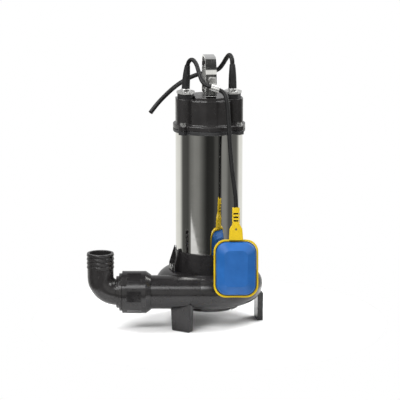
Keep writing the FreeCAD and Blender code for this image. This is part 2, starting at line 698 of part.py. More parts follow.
def make_oil_chamber():
    body = new_body("oil_chamber")
    bearing = "lower_bearing_low"
    inside = "tube_radius - tube_wall - 0.1"
    revolve(body, [("13", "chamber_low"), ("spigot_radius", "chamber_low"), ("spigot_radius", "gasket_high"),
                   ("chamber_foot", "gasket_high"), ("chamber_radius", "tube_low"), (inside, "tube_low"),
                   (inside, "tube_low + 12"), ("54", "tube_low + 12"), ("54", f"{bearing} - 2"),
                   ("bearing_radius + 4.5", f"{bearing} - 2"),
                   ("bearing_radius + 4.5", f"{bearing} + bearing_width"),
                   ("bearing_radius", f"{bearing} + bearing_width"), ("bearing_radius", bearing),
                   ("13", bearing), ("13", f"{bearing} - 7"), ("50", f"{bearing} - 7"),
                   ("50", "chamber_low + 9"), ("13", "chamber_low + 9")])
    fin = [("chamber_radius - 4", "volute_high"), ("fin_reach", "volute_high"), ("fin_reach", "fin_knee"),
           ("chamber_foot", "fin_top"), ("chamber_radius - 0.5", "fin_top"),
           ("chamber_radius - 0.5", "tube_low"), ("chamber_radius - 4", "tube_low - 6")]
    for pair in range(3):
        for side in (0, 1):
            radial_plate(body, fin, f"fin_start + {pair} * 120 + {side} * fin_spread", "fin_thick")
    lug = [("chamber_radius - 4", -13), ("fin_reach", -13), ("fin_reach", 13), ("chamber_radius - 4", 13)]
    for turn in screw_turns():
        block(body, lug, "volute_high", "volute_high + 6", turn=turn)
        hole(body, "3.1", "volute_high", "volute_high + 6", screw_centre(turn))
    keep(body, pump_place())


def screw_turns():
    """The volute's three screws stand midway between the fins of each pair."""
    return [value(f"fin_start + fin_spread / 2 + {pair} * 120") for pair in range(3)]


def screw_centre(turn):
    return (f"volute_screw_circle * cos({turn})", f"volute_screw_circle * sin({turn})")


def make_volute_fixings():
    turned("volute_gasket", ring("volute_mouth + 0.5", "chamber_foot - 0.5", "seat_low", "gasket_high"),
           pump_place())
    screws = [screw("3", "seat_low - 3", "volute_high + 6", "5", "volute_high + 11", screw_centre(turn))
              for turn in screw_turns()]
    keep(group("volute_screws", screws), pump_place())


def make_seals():
    turned("lip_seal", ring("shaft_radius + 0.05", "13", "lower_bearing_low - 7", "lower_bearing_low - 1"),
           pump_place())
    turned("seal_seat", ring("shaft_radius + 0.6", "13", "chamber_low", "chamber_low + 9"), pump_place())
    turned("seal_head",
           [("shaft_radius", "chamber_low + 9.05"), ("12", "chamber_low + 9.05"),
            ("12", "chamber_low + 14"), ("15", "chamber_low + 17"), ("15", "chamber_low + 29"),
            ("shaft_radius", "chamber_low + 29")], pump_place())


# ---------------------------------------------------------------- volute, cover and hydraulic parts

def make_volute():
    body = new_body("volute_casing")
    revolve(body, [(0, "volute_low"), ("volute_radius", "volute_low"), ("volute_radius", "volute_high"),
                   ("seat_radius", "volute_high"), ("seat_radius", "seat_low"), (0, "seat_low")])
    round_edges(body, "volute_curve", lambda edge: is_ring(edge, "volute_radius", "volute_low")
                or is_ring(edge, "volute_radius", "volute_high"))
    pipe = new_sketch(body, "YZ_Plane")
    add_circle(pipe, "pipe_radius", ("outlet_y", "outlet_z"))
    extrude(body, pipe, "pipe_end", reversed_way=True)
    inside = "volute_radius - volute_wall"
    floor = "volute_low + volute_wall"
    ceiling = "seat_low - volute_wall"
    revolve(body, [(0, "volute_low - 1"), ("cover_mouth", "volute_low - 1"), ("cover_mouth", floor),
                   (f"{inside} - chamber_slope", floor), (inside, f"{floor} + chamber_slope"),
                   (inside, f"{ceiling} - chamber_slope"), (f"{inside} - chamber_slope", ceiling),
                   ("volute_mouth", ceiling), ("volute_mouth", "seat_low"), ("seat_radius", "seat_low"),
                   ("seat_radius", "volute_high + 1"), (0, "volute_high + 1")], "Groove")
    bore = new_sketch(body, "YZ_Plane", (0, 0, "-pipe_end"))
    add_circle(bore, "pipe_bore", ("outlet_y", "outlet_z"))
    extrude(body, bore, "pipe_end", "Pocket", reversed_way=True)
    for turn in screw_turns():
        hole(body, "3.1", "seat_low - 4", "volute_high", screw_centre(turn))
    for turn in range(45, 360, 90):
        hole(body, "2.6", "volute_low", f"{floor} - 1", cover_screw_centre(turn))
    keep(body, pump_place())


def is_leg_corner(edge):
    """An edge across the bottom of a leg, from its outer face to its inner one."""
    level = abs(edge.BoundBox.ZMax) < 0.01 and abs(edge.BoundBox.ZMin) < 0.01
    return level and abs(edge.Length - value("leg_thick")) < 0.01


def make_legs():
    """Three flat legs, each let into the volute's rounded underside."""
    foot = [("-leg_top_half", "leg_high"), ("-leg_foot_half", 0), ("leg_foot_half", 0),
            ("leg_top_half", "leg_high")]
    curve = "volute_radius - volute_curve"
    legs = []
    for angle in ("leg_front", "leg_right", "leg_back"):
        leg = new_body(f"{angle}_blank")
        tangent_plate(leg, foot, angle, "(leg_outer - leg_thick)", "leg_thick")
        round_edges(leg, 3, is_leg_corner)
        shell = primitive("Torus", (0, 0, "volute_low + volute_curve"), Radius1=curve,
                          Radius2="volute_curve")
        pipe = cylinder("pipe_radius", "pipe_end", (0, "outlet_y", "outlet_z"), axis=(-1, 0, 0))
        legs.append(cut(angle, leg, fused("casing_outside", [shell, pipe])))
    keep(group("volute_legs", legs), pump_place())


def cover_screw_centre(turn):
    return (f"cover_screw_circle * cos({turn})", f"cover_screw_circle * sin({turn})")


def make_suction():
    """Cover plate under the volute, its cutter ring, and the countersunk screws from below."""
    cover = new_body("suction_cover")
    revolve(cover, [("cutter_ring_outer", "cover_low"), ("cover_radius - 3", "cover_low"),
                    ("cover_radius", "cover_low + 3"), ("cover_radius", "volute_low"),
                    ("cover_mouth - 0.2", "volute_low"), ("cover_mouth - 0.2", "volute_low + 4.5"),
                    ("cover_mouth - 6", "volute_low + 4.5"), ("cover_mouth - 6", "cutter_ring_high"),
                    ("cutter_ring_outer", "cutter_ring_high")])
    for turn in range(45, 360, 90):
        hole(cover, "2.6", "cover_low", "volute_low", cover_screw_centre(turn))
        hole(cover, "4.7", "cover_low", "cover_low + 4", cover_screw_centre(turn))
    keep(cover, pump_place())
    blade_ring = new_body("cutter_ring")
    revolve(blade_ring, ring("cutter_ring_bore", "cutter_ring_outer", "cover_low", "cutter_ring_high"))
    for turn in range(0, 360, 45):
        centre = (f"cutter_ring_bore * cos({turn})", f"cutter_ring_bore * sin({turn})")
        hole(blade_ring, "3", "cover_low", "cutter_ring_high", centre)
    keep(blade_ring, pump_place())
    screws = []
    for turn in range(45, 360, 90):
        x, y = cover_screw_centre(turn)
        shank = cylinder("2.5", "volute_low - cover_low - 1", (x, y, "cover_low + 4"))
        head = cylinder("4.5", "4", (x, y, "cover_low"))
        screws.append(fused("screw", [shank, head]))
    keep(group("cover_screws", screws), pump_place())


def make_impeller():
    body = new_body("impeller")
    revolve(body, ring("shaft_radius", "hub_radius", "hub_low", "impeller_high"))
    revolve(body, ring("hub_radius - 1", "impeller_radius", "impeller_plate", "impeller_high"))
    vane = [("hub_radius - 1", "impeller_low"), ("impeller_radius - 4", "impeller_low + 5"),
            ("impeller_radius - 1", "impeller_plate + 1"), ("hub_radius - 1", "impeller_plate + 1")]
    for turn in range(0, 360, 60):
        radial_plate(body, vane, turn, 4)
    keep(body, pump_place())
    blade = new_body("cutter_blade")
    revolve(blade, ring("shaft_radius", "11", "shaft_low", "hub_low"))
    arm = [(10, -3), ("cutter_ring_bore - 1", -2), ("cutter_ring_bore - 1", 2), (10, 3)]
    for turn in range(0, 360, 120):
        block(blade, arm, "shaft_low", "hub_low", turn=turn)
    keep(blade, pump_place())
    head = primitive("Prism", (0, 0, "shaft_low - 5"), Polygon="6", Circumradius="9.5", Height="5")
    shank = cylinder("3.5", "14", (0, 0, "shaft_low"))
    keep(fused("impeller_bolt", [head, shank]), pump_place())


# ---------------------------------------------------------------- outlet

def make_coupling():
    """Threaded sleeve on the end of the outlet pipe, with moulded panels and a locking tab."""
    body = new_body("outlet_coupling")
    revolve(body, [("coupling_bore", "coupling_start"), ("pipe_radius + 1.4", "coupling_start"),
                   ("coupling_radius", "coupling_knee"), ("coupling_radius", "coupling_end"),
                   ("elbow_spigot + 0.1", "coupling_end"), ("elbow_spigot + 0.1", "pipe_end + 4.5"),
                   ("pipe_bore", "pipe_end + 4.5"), ("pipe_bore", "pipe_end + 1"),
                   ("coupling_bore", "pipe_end + 1")])
    panel = [(-10, "coupling_knee + 8"), (10, "coupling_knee + 8"), (10, "coupling_end - 9"),
             (-10, "coupling_end - 9")]
    for turn in range(-90, 270, 60):
        sketch = new_sketch(body, "YZ_Plane", (f"(coupling_radius + 1) * sin({turn})", 0,
                                               f"(coupling_radius + 1) * cos({turn})"), (0, 1, 0), turn)
        add_outline(sketch, panel)
        extrude(body, sketch, "2.4", "Pocket")
    tab = [(-8, "coupling_end - 8"), (8, "coupling_end - 8"), (8, "coupling_end"), (-8, "coupling_end")]
    tangent_plate(body, tab, -48, "(coupling_radius - 4)", 6)
    keep(body, outlet_place())
    turned("outlet_seal", ring("pipe_bore", "pipe_radius", "pipe_end", "pipe_end + 1"), outlet_place())


def make_elbow():
    """Screwed-in elbow that turns the outlet upwards and ends in a ribbed hose tail."""
    quarter = FreeCAD.Rotation(FreeCAD.Vector(-1, 0, 0), FreeCAD.Vector(0, 0, 1), FreeCAD.Vector(0, 1, 0),
                               "XYZ")
    leg_base = "elbow_start + elbow_bend"
    leg_length = "mouth_height - outlet_z - elbow_bend"

    def bent_pipe(radius, start):
        """A solid rod along the elbow's middle line."""
        straight = cylinder(radius, f"elbow_start - {start}", (0, 0, start))
        bend = primitive("Torus", ("elbow_bend", 0, "elbow_start"), rotation=quarter,
                         Radius1="elbow_bend", Radius2=radius, Angle3="90")
        leg = cylinder(radius, leg_length, ("elbow_bend", 0, leg_base), axis=(1, 0, 0))
        return [straight, bend, leg]

    collars = [cylinder("elbow_spigot", "coupling_end + 0.3 - spigot_start", (0, 0, "spigot_start")),
               cylinder("elbow_collar", "elbow_collar_end - coupling_end - 0.3",
                        (0, 0, "coupling_end + 0.3")),
               cylinder("elbow_step", "elbow_start - elbow_collar_end", (0, 0, "elbow_collar_end"))]
    barbs = []
    for step in range(4):
        top = f"mouth_height - outlet_z - {step} * barb_pitch"
        barbs.append(primitive("Cone", (f"{top} - 4.2", 0, leg_base), (1, 0, 0), Radius1="barb_radius",
                               Radius2="barb_radius - 1", Height="4.2"))
    outer = fused("elbow_outside", bent_pipe("elbow_radius", "elbow_collar_end") + collars + barbs)
    inner = fused("elbow_inside", bent_pipe("elbow_bore", "spigot_start"))
    keep(cut("outlet_elbow", outer, inner), outlet_place())


# ---------------------------------------------------------------- float switch

def float_section(inset, depth):
    """Rounded rectangle of the float, drawn in by the inset, at one depth towards the viewer."""
    inset = value(inset)
    half = value("float_half") - inset
    middle = value("float_x")
    low = value("float_low") + inset
    high = value("float_high") - inset
    corner = max(value("float_corner") - 0.6 * inset, 6)
    y = -value(depth)
    edges = []
    turns = ((1, -1, middle + half, low), (1, 1, middle + half, high),
             (-1, 1, middle - half, high), (-1, -1, middle - half, low))
    diagonal = corner * (1 - math.sqrt(0.5))
    for index, (x_way, z_way, x, z) in enumerate(turns):
        beside = FreeCAD.Vector(x - x_way * corner, y, z)
        above = FreeCAD.Vector(x, y, z - z_way * corner)
        first, last = (beside, above) if x_way * z_way < 0 else (above, beside)
        through = FreeCAD.Vector(x - x_way * diagonal, y, z - z_way * diagonal)
        edges.append(Part.Arc(first, through, last).toShape())
    sides = [Part.makeLine(one.Vertexes[-1].Point, two.Vertexes[0].Point)
             for one, two in zip(edges, edges[1:] + edges[:1])]
    ordered = [edge for pair in zip(edges, sides) for edge in pair]
    return Part.Wire(ordered)


def float_loft(layers):
    """Closed solid through rounded rectangles, each given by its inset and its depth."""
    return Part.makeLoft([float_section(inset, depth) for inset, depth in layers], True, True)


def neck_solid():
    """The neck over the float that grips the cable, with its ladder of slots."""
    middle = value("float_x")
    half = value("neck_half")
    foot = value("neck_foot_half")
    high = value("neck_high")
    low = value("neck_low")
    top = value("float_high")
    right = [(half, high), (half, low), (foot - 1.5, low - 8), (foot, top - 1)]
    outline = right + [(-x, z) for x, z in reversed(right)]
    points = [FreeCAD.Vector(middle + x, half, z) for x, z in outline]
    neck = Part.Face(Part.makePolygon(points + points[:1])).extrude(FreeCAD.Vector(0, -2 * half, 0))
    upright = [edge for edge in neck.Edges if is_upright(edge) and edge.BoundBox.ZMin > low - 1]
    neck = neck.makeFillet(2, upright)
    bore = value("float_cable_radius") + 0.1
    lead = Part.makeCylinder(bore, high - low + 12, FreeCAD.Vector(middle, 0, low - 12))
    neck = neck.cut(lead)
    for step in range(3):
        level = high - 12.1 - step * 6.2
        slot = Part.makeBox(9.2, 16, 2.6, FreeCAD.Vector(middle - 4.6, -8, level))
        neck = neck.cut(slot)
    pin_hole = Part.makeCylinder(value("neck_pin"), 16, FreeCAD.Vector(middle, -8, low - 9),
                                 FreeCAD.Vector(0, 1, 0))
    return neck.cut(pin_hole)


def make_float():
    """Two hollow halves held in a band that carries the neck, with the switch inside."""
    rim = "float_rim"
    groove = f"{rim} + float_groove"
    band = float_loft([("0", "2.5"), ("0", "-5.5")]).fuse(neck_solid())
    band = band.cut(float_loft([(rim, "3"), (rim, "-6")]))
    shaped("float_band", band, float_place())
    back = float_loft([(f"{rim} + 0.3", "-2.8"), (groove, "-5"), (groove, "-7"), (f"{rim} + 3", "-11"),
                       ("float_bevel", "-float_depth")])
    back = back.cut(float_loft([(f"{rim} + float_wall", "-2"), (f"{rim} + float_wall", "-3"),
                                ("float_bevel + float_wall", "float_wall - float_depth")]))
    shaped("float_back_shell", back, float_place())
    front = float_loft([(f"{rim} + 0.3", "-2.5"), (groove, "1"), (groove, "5"), (f"{rim} + 3", "9"),
                        ("float_bevel + 6", "float_depth - 2")])
    front = front.cut(float_loft([(f"{rim} + float_wall", "-3"), (f"{rim} + float_wall", "4"),
                                  ("float_bevel + 7", "float_depth - 2 - float_wall")]))
    shaped("float_front_shell", front, float_place())
    switch = primitive("Box", ("float_x - 10", "-6", "switch_low"), Length="20", Width="12", Height="20")
    keep(group("float_switch", [switch]), float_place())
    rocker = primitive("Box", ("-lever_reach", "-4", "-0.4"), Length="2 * lever_reach", Width="8",
                       Height="0.8")
    keep(group("switch_lever", [rocker]), lever_place())
    ball = primitive("Sphere", ("float_x", 0, "ball_rest"), Radius="ball_size")
    keep(group("switch_ball", [ball]), float_place())
    guide = new_body("ball_guide")
    low = "ball_rest - ball_size - 1.5"
    drum(guide, "ball_size + 2", low, "ball_rest + ball_travel", ("float_x", 0))
    hole(guide, "ball_size + 0.4", f"{low} + 1.2", "ball_rest + ball_travel", ("float_x", 0))
    keep(guide, float_place())


# ---------------------------------------------------------------- checks and export

def check_document():
    """Stop if any object failed, or a sub-part has no valid closed shape."""
    for item in DOC.Objects:
        if "Invalid" in item.State or "Error" in item.State:
            raise RuntimeError(f"{item.Name} ({item.Label}) failed: {item.State}")
    for node in NODES:
        if node.Shape.isNull() or not node.Shape.isValid():
            raise RuntimeError(f"{node.Label} has no valid shape")
        if not node.Shape.Solids:
            raise RuntimeError(f"{node.Label} has no solid")


def export():
    os.makedirs("parts", exist_ok=True)
    for node in NODES:
        node.Shape.exportStep(f"parts/{node.Label}.step")
    print(f"{len(NODES)} sub-parts")


def build():
    fill_sheet()
    make_top_cap()
    make_upper_frame()
    make_cap_fixings()
    make_handle()
    make_gland("float", "-", "float_cable_radius")
    make_gland("power", "", "power_cable_radius")
    make_gland_screws()
    make_boot("float", "-", FLOAT_ROUTE, "float_cable_radius")
    make_boot("power", "", POWER_ROUTE, "power_cable_radius")
    make_cables()
    make_clamp()
    make_motor()
    make_bearings()
    make_rotor()
    make_oil_chamber()
    make_seals()
    make_volute()
    make_legs()
    make_volute_fixings()
    make_suction()
    make_impeller()
    make_coupling()
    make_elbow()
    make_float()
    DOC.recompute()
    check_document()
    export()


build()
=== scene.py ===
import json
import math

import bpy
from mathutils import Matrix, Vector


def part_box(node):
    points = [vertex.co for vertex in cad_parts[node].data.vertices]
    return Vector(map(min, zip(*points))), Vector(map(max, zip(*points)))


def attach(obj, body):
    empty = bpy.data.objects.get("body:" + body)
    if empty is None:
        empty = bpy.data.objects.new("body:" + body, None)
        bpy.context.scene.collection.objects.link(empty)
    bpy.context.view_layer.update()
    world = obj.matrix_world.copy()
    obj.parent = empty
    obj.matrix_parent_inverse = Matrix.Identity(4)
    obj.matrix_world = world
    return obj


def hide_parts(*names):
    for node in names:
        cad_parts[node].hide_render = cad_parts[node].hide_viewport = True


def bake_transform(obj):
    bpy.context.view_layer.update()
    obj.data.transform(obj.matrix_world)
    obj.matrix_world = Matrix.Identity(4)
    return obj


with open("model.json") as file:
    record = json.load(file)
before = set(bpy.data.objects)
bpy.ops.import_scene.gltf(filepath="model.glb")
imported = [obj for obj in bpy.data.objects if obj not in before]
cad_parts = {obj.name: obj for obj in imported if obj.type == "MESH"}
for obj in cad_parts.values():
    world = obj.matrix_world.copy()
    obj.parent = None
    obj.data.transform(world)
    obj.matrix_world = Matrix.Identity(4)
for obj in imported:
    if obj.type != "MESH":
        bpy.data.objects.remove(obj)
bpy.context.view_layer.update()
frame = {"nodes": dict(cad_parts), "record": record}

# The pump's parts are placed from its motor axis, in millimetres, as the CAD model is.
MM = 0.001
TUBE_LOW, TUBE_HIGH = (Vector(corner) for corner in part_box("motor_tube"))
AXIS = Vector(((TUBE_LOW.x + TUBE_HIGH.x) / 2, (TUBE_LOW.y + TUBE_HIGH.y) / 2, 0))


def at(x, y, z):
    """A point given in millimetres from the motor axis at floor level."""
    return AXIS + Vector((x, y, z)) * MM


# ---------------------------------------------------------------- camera, light and floor

CAMERA_AWAY = 3.2
CAMERA_TILT = math.radians(11)
CAMERA_AIM = (-16.2, 0, 222.5)

# Each square light: name, place from the motor axis in metres, size in metres, power in watts.
SOFTBOXES = [("ceiling_light", (-0.9, -0.2, 1.6), 0.9, 26),
             ("left_light", (-0.8, -1.3, 1.25), 0.7, 26),
             ("right_light", (1.4, -0.9, 1.1), 0.7, 12),
             ("back_light", (1.3, 1.1, 1.1), 0.9, 18),
             ("over_light", (0.8, 0.2, 1.7), 1.0, 26),
             ("front_light", (-0.2, -1.4, 1.3), 0.5, 5)]
LIT_HEIGHT = 0.25

FLOOR_RADIUS = 0.32
FLOOR_SIDES = 96


def make_camera():
    """A long lens, looking slightly down on the middle of the pump."""
    data = bpy.data.cameras.new("camera")
    data.lens = 160
    data.sensor_width = 36
    camera = bpy.data.objects.new("camera", data)
    back = Vector((0, -math.cos(CAMERA_TILT), math.sin(CAMERA_TILT)))
    camera.location = at(*CAMERA_AIM) + back * CAMERA_AWAY
    camera.rotation_euler = (math.pi / 2 - CAMERA_TILT, 0, 0)
    bpy.context.scene.collection.objects.link(camera)
    bpy.context.scene.camera = camera


def make_softbox(name, place, size, power):
    """A square area light that faces the pump's middle."""
    data = bpy.data.lights.new(name, "AREA")
    data.size = size
    data.energy = power
    lamp = bpy.data.objects.new(name, data)
    lamp.location = AXIS + Vector(place)
    aim = Vector((0, 0, LIT_HEIGHT)) - Vector(place)
    lamp.rotation_euler = aim.to_track_quat("-Z", "Y").to_euler()
    bpy.context.scene.collection.objects.link(lamp)


# Brightness of the studio round the pump: degrees from the front, to the right positive.
STUDIO = [(-180, 0.95), (-138, 0.93), (-120, 0.88), (-113, 0.6), (-104, 0.15), (-99, 0.1), (-77, 0.08),
          (-66, 0.2), (-50, 0.28), (-36, 0.25), (-27, 0.16), (-20, 0.1), (-12, 0.045), (-6, 0.025),
          (14, 0.035), (23, 0.09), (30, 0.09),
          (34, 0.03), (40, 0.035), (46, 0.3), (60, 0.28), (72, 0.1), (84, 0.12), (108, 0.14),
          (117, 0.4), (126, 0.95), (180, 0.95)]

# Brightness above the walls in front of the pump: degrees over the horizon.
CEILING = [(-90, 0.3), (-5, 0.5), (5, 0.5), (9, 0.05), (60, 0.05), (90, 0.07)]

# The same over a tall light panel ahead of the pump, and where that panel stands round it.
PANEL = [(-90, 0.3), (-8, 0.9), (-5, 1.0), (23, 1.0), (27, 0.05), (60, 0.05), (90, 0.07)]
PANEL_PLACE = [(-180, 0), (-22, 0), (-16, 1), (34, 1), (40, 0), (180, 0)]

# A white card on the ground ahead, to the left. Its left edge is upright. Its right edge slants: there the
# angle round the pump plus CARD_SLANT times the height of the direction comes to CARD_RIGHT.
CARD_LEFT = math.radians(-66)
CARD_SLANT = 25.4
CARD_RIGHT = -6.215
CARD_LOW = -0.235
CARD_GREY = 0.9

# Backward and upward parts of the directions where the back wall starts and where the walls end.
BACK_WALL = (0.42, 0.56)
BACK_WALL_GREY = 0.6
WALL_TOP = (-0.1, -0.07)


def world_ramp(tree, factor, stops):
    """A grey that changes along a factor, with stops of (place from 0 to 1, brightness)."""
    ramp = tree.nodes.new("ShaderNodeValToRGB")
    while len(ramp.color_ramp.elements) < len(stops):
        ramp.color_ramp.elements.new(0.5)
    for stop, (place, grey) in zip(ramp.color_ramp.elements, stops):
        stop.position = place
        stop.color = (grey, grey, grey * 0.96, 1)
    tree.links.new(factor, ramp.inputs["Fac"])
    return ramp.outputs["Color"]


def world_share(tree, number, low, high):
    """How far a number lies from low to high, from 0 to 1."""
    node = tree.nodes.new("ShaderNodeMapRange")
    node.inputs["From Min"].default_value = low
    node.inputs["From Max"].default_value = high
    tree.links.new(number, node.inputs["Value"])
    return node.outputs["Result"]


def world_mix(tree, factor, first, second):
    """Two studio colours blended. The second may be a plain brightness."""
    node = tree.nodes.new("ShaderNodeMix")
    node.data_type = "RGBA"
    tree.links.new(factor, node.inputs["Factor"])
    tree.links.new(first, node.inputs["A"])
    if isinstance(second, float):
        node.inputs["B"].default_value = (second, second, second, 1)
    else:
        tree.links.new(second, node.inputs["B"])
    return node.outputs["Result"]


def world_card(tree, angle, height, walls):
    """The walls with the white card in front of them."""
    slanted = tree.nodes.new("ShaderNodeMath")
    slanted.operation = "MULTIPLY_ADD"
    tree.links.new(height, slanted.inputs[0])
    slanted.inputs[1].default_value = CARD_SLANT
    tree.links.new(angle, slanted.inputs[2])
    inside_right = world_share(tree, slanted.outputs[0], CARD_RIGHT + 0.02, CARD_RIGHT - 0.02)
    inside_left = world_share(tree, angle, CARD_LEFT - 0.02, CARD_LEFT + 0.02)
    under = world_share(tree, height, CARD_LOW, CARD_LOW - 0.03)
    card = world_mix(tree, inside_left, walls, world_mix(tree, inside_right, walls, CARD_GREY))
    return world_mix(tree, under, card, walls)


def round_stops(table):
    """Ramp stops from degrees round the pump."""
    return [((degrees + 180) / 360, grey) for degrees, grey in table]


def up_stops(table):
    """Ramp stops from degrees over the horizon."""
    return [((math.sin(math.radians(degrees)) + 1) / 2, grey) for degrees, grey in table]


def make_world():
    """A studio with light walls behind, darker ones and a tall light panel in front, and a dark ceiling."""
    world = bpy.data.worlds.new("studio")
    bpy.context.scene.world = world
    world.use_nodes = True
    tree = world.node_tree
    tree.nodes.clear()
    direction = tree.nodes.new("ShaderNodeSeparateXYZ")
    tree.links.new(tree.nodes.new("ShaderNodeTexCoord").outputs["Generated"], direction.inputs[0])
    forward = tree.nodes.new("ShaderNodeMath")
    forward.operation = "MULTIPLY"
    forward.inputs[1].default_value = -1
    tree.links.new(direction.outputs["Y"], forward.inputs[0])
    angle = tree.nodes.new("ShaderNodeMath")
    angle.operation = "ARCTAN2"
    tree.links.new(direction.outputs["X"], angle.inputs[0])
    tree.links.new(forward.outputs[0], angle.inputs[1])
    round_share = world_share(tree, angle.outputs[0], -math.pi, math.pi)
    up_share = world_share(tree, direction.outputs["Z"], -1, 1)
    walls = world_ramp(tree, round_share, round_stops(STUDIO))
    ceiling = world_ramp(tree, up_share, up_stops(CEILING))
    panel = world_ramp(tree, up_share, up_stops(PANEL))
    above = world_mix(tree, world_ramp(tree, round_share, round_stops(PANEL_PLACE)), ceiling, panel)
    backdrop = world_share(tree, direction.outputs["Y"], *BACK_WALL)
    upper = world_mix(tree, backdrop, above, BACK_WALL_GREY)
    raised = world_share(tree, direction.outputs["Z"], *WALL_TOP)
    lower = world_card(tree, angle.outputs[0], direction.outputs["Z"], walls)
    inside = tree.nodes.new("ShaderNodeBackground")
    tree.links.new(world_mix(tree, raised, lower, upper), inside.inputs["Color"])
    plain = tree.nodes.new("ShaderNodeBackground")
    plain.inputs["Color"].default_value = (1, 1, 1, 1)
    seen = tree.nodes.new("ShaderNodeMixShader")
    tree.links.new(tree.nodes.new("ShaderNodeLightPath").outputs["Is Camera Ray"], seen.inputs["Fac"])
    tree.links.new(inside.outputs[0], seen.inputs[1])
    tree.links.new(plain.outputs[0], seen.inputs[2])
    tree.links.new(seen.outputs[0], tree.nodes.new("ShaderNodeOutputWorld").inputs["Surface"])


def make_floor():
    """A round pale table top, staged under the pump."""
    mesh = bpy.data.meshes.new("floor")
    rim = [at(0, 0, 0) + Vector((math.cos(turn), math.sin(turn), 0)) * FLOOR_RADIUS
           for turn in (index * math.tau / FLOOR_SIDES for index in range(FLOOR_SIDES))]
    mesh.from_pydata(rim, [], [range(FLOOR_SIDES)])
    floor = bpy.data.objects.new("floor", mesh)
    bpy.context.scene.collection.objects.link(floor)
    mesh.materials.append(floor_paper())


# ---------------------------------------------------------------- materials

class Finish:
    """A node material built from noise in the object's own coordinates."""

    def __init__(self, name, metallic=0.0, shine=0.5):
        self.material = bpy.data.materials.new(name)
        self.material.use_nodes = True
        self.nodes = self.material.node_tree.nodes
        self.links = self.material.node_tree.links
        self.shader = self.nodes["Principled BSDF"]
        self.shader.inputs["Metallic"].default_value = metallic
        self.shader.inputs["Specular IOR Level"].default_value = shine
        self.place = self.nodes.new("ShaderNodeTexCoord").outputs["Object"]
        self.normal = None

    def noise(self, size, detail=4, stretch=(1, 1, 1)):
        """Noise whose blotches are about size millimetres across, drawn out along some ways."""
        mapping = self.nodes.new("ShaderNodeMapping")
        mapping.inputs["Scale"].default_value = [1 / (way * size * MM) for way in stretch]
        self.links.new(self.place, mapping.inputs["Vector"])
        texture = self.nodes.new("ShaderNodeTexNoise")
        texture.inputs["Scale"].default_value = 1
        texture.inputs["Detail"].default_value = detail
        self.links.new(mapping.outputs["Vector"], texture.inputs["Vector"])
        return texture.outputs["Fac"]

    def spread(self, factor, low, high, start=0.35, end=0.65):
        """A number that goes from low to high as the factor goes from start to end."""
        node = self.nodes.new("ShaderNodeMapRange")
        for name, number in (("From Min", start), ("From Max", end), ("To Min", low), ("To Max", high)):
            node.inputs[name].default_value = number
        self.links.new(factor, node.inputs["Value"])
        return node.outputs["Result"]

    def roughness(self, factor, low, high):
        self.links.new(self.spread(factor, low, high), self.shader.inputs["Roughness"])

    def colour(self, factor, first, second, start=0.35, end=0.65):
        """Two shades blended by the factor."""
        mix = self.nodes.new("ShaderNodeMix")
        mix.data_type = "RGBA"
        mix.inputs["A"].default_value = (*first, 1)
        mix.inputs["B"].default_value = (*second, 1)
        self.links.new(self.spread(factor, 0, 1, start, end), mix.inputs["Factor"])
        self.links.new(mix.outputs["Result"], self.shader.inputs["Base Color"])
        return mix

    def bevel(self, radius):
        """Round the look of every edge by a radius in millimetres."""
        node = self.nodes.new("ShaderNodeBevel")
        node.samples = 8
        node.inputs["Radius"].default_value = radius * MM
        self.normal = node.outputs["Normal"]

    def bump(self, factor, depth, strength=1.0):
        """Raise the surface by up to a depth in millimetres."""
        node = self.nodes.new("ShaderNodeBump")
        node.inputs["Distance"].default_value = depth * MM
        node.inputs["Strength"].default_value = strength
        self.links.new(factor, node.inputs["Height"])
        if self.normal:
            self.links.new(self.normal, node.inputs["Normal"])
        self.normal = node.outputs["Normal"]

    def finished(self):
        if self.normal:
            self.links.new(self.normal, self.shader.inputs["Normal"])
        return self.material


def floor_paper():
    finish = Finish("floor_paper")
    finish.colour(finish.noise(60), (0.93, 0.93, 0.93), (0.96, 0.96, 0.96))
    finish.roughness(finish.noise(8), 0.75, 0.9)
    finish.bump(finish.noise(0.6), 0.03)
    return finish.finished()


def moulded_plastic(name, dark, light, low, high, edge=0.8):
    """Satin moulded plastic: a fine grain, soft flow marks and paler blotches."""
    finish = Finish(name, shine=0.38)
    finish.colour(finish.noise(24, 4), dark, light)
    finish.roughness(finish.noise(9, 4), low, high)
    finish.bevel(edge)
    finish.bump(finish.noise(40, 1), 0.08)
    finish.bump(finish.noise(1.1, 2), 0.003)
    return finish.finished()


def sheen_paled_plastic():
    """The plastic of the cap and the elbow, with softer edges. Its base is a little paler than the black
    plastic: painted sheen, standing in for the light on these parts.
    """
    # paler shades than the black plastic's: painted sheen, not a different dye or wear
    dark = (0.014, 0.013, 0.013)
    light = (0.021, 0.0196, 0.0198)
    return moulded_plastic("sheen_paled_plastic", dark, light, 0.2, 0.28, 1.8)


def mirror_steel():
    """Tube steel polished round and round, with faint lines and a little haze."""
    finish = Finish("mirror_steel", 1.0)
    finish.colour(finish.noise(30, 3), (0.66, 0.655, 0.63), (0.7, 0.695, 0.67))
    finish.roughness(finish.noise(6, 6, (8, 8, 0.5)), 0.02, 0.05)
    finish.bump(finish.noise(90, 2, (1, 1, 2.5)), 0.03)
    finish.bump(finish.noise(0.4, 4, (20, 20, 1)), 0.001)
    return finish.finished()


def sheet_steel(name, low, high, stretch):
    """Rolled or turned steel with fine lines one way."""
    finish = Finish(name, 1.0)
    finish.colour(finish.noise(8, 5), (0.62, 0.62, 0.62), (0.74, 0.74, 0.73))
    finish.roughness(finish.noise(1.2, 5, stretch), low, high)
    finish.bump(finish.noise(14, 2), 0.02)
    return finish.finished()


def satin_steel():
    """Pressed steel with a soft, bright sheen, for the small fittings on top."""
    finish = Finish("satin_steel", 0.85)
    finish.colour(finish.noise(5, 4), (0.44, 0.44, 0.43), (0.58, 0.58, 0.57))
    finish.roughness(finish.noise(2, 5), 0.3, 0.42)
    finish.bump(finish.noise(6, 2), 0.03)
    return finish.finished()


